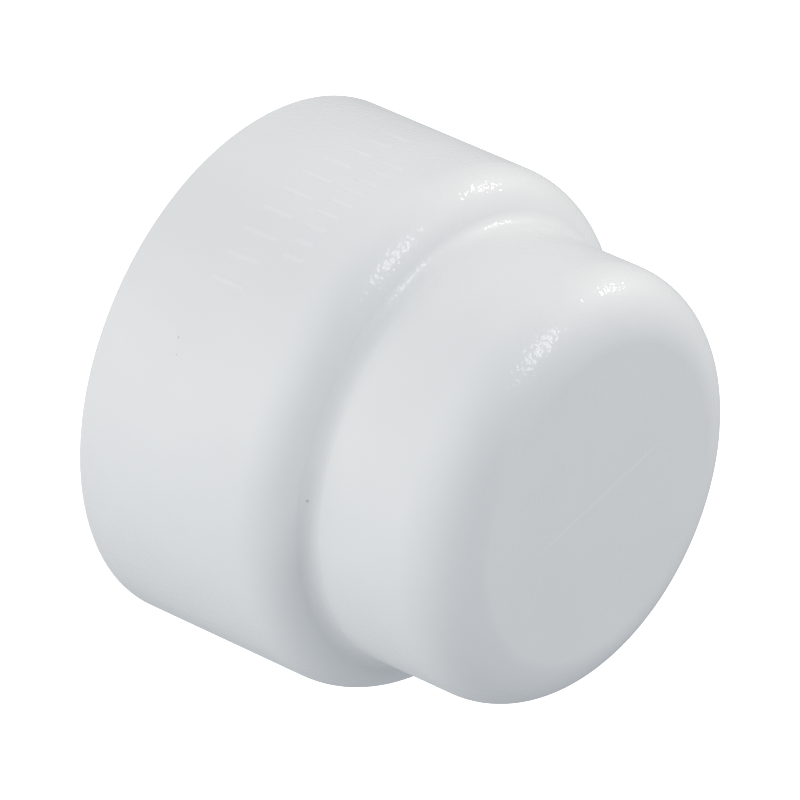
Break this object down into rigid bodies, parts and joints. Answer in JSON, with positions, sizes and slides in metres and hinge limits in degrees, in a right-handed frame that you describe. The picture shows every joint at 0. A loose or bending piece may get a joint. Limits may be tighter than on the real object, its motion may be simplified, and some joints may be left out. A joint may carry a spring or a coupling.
{
  "type": "capped pipe reducer",
  "caption": "Short white push-fit pipe reducer: a plain round socket with a rounded shoulder, its smaller outlet closed by a round-edged pull-off blanking cap.",
  "frame": {"origin": "centre of the large mouth, in the plane of its rim", "axes": "+Z along the fitting's axis from the large mouth to the cap's end face; X and Y lie across the mouth, and the fitting is round about Z"},
  "size_m": [0.0684, 0.0684, 0.0544],
  "materials": {
    "white_pvc": "satin, with a fine moulded grain",
    "ring_white": "satin",
    "seal_rubber": "matt"
  },
  "bodies": {
    "body": {"reducer_body": "white_pvc", "socket_lip_seal": "seal_rubber", "socket_retaining_ring": "ring_white"},
    "cap": {"blanking_cap": "white_pvc", "cap_lip_seal": "seal_rubber", "cap_retaining_ring": "ring_white"}
  },
  "joints": [
    {"name": "cap_pull", "type": "slide", "parent": "body", "child": "cap", "axis": [0, 0, 1], "range_m": [0, 0.03]}
  ]
}
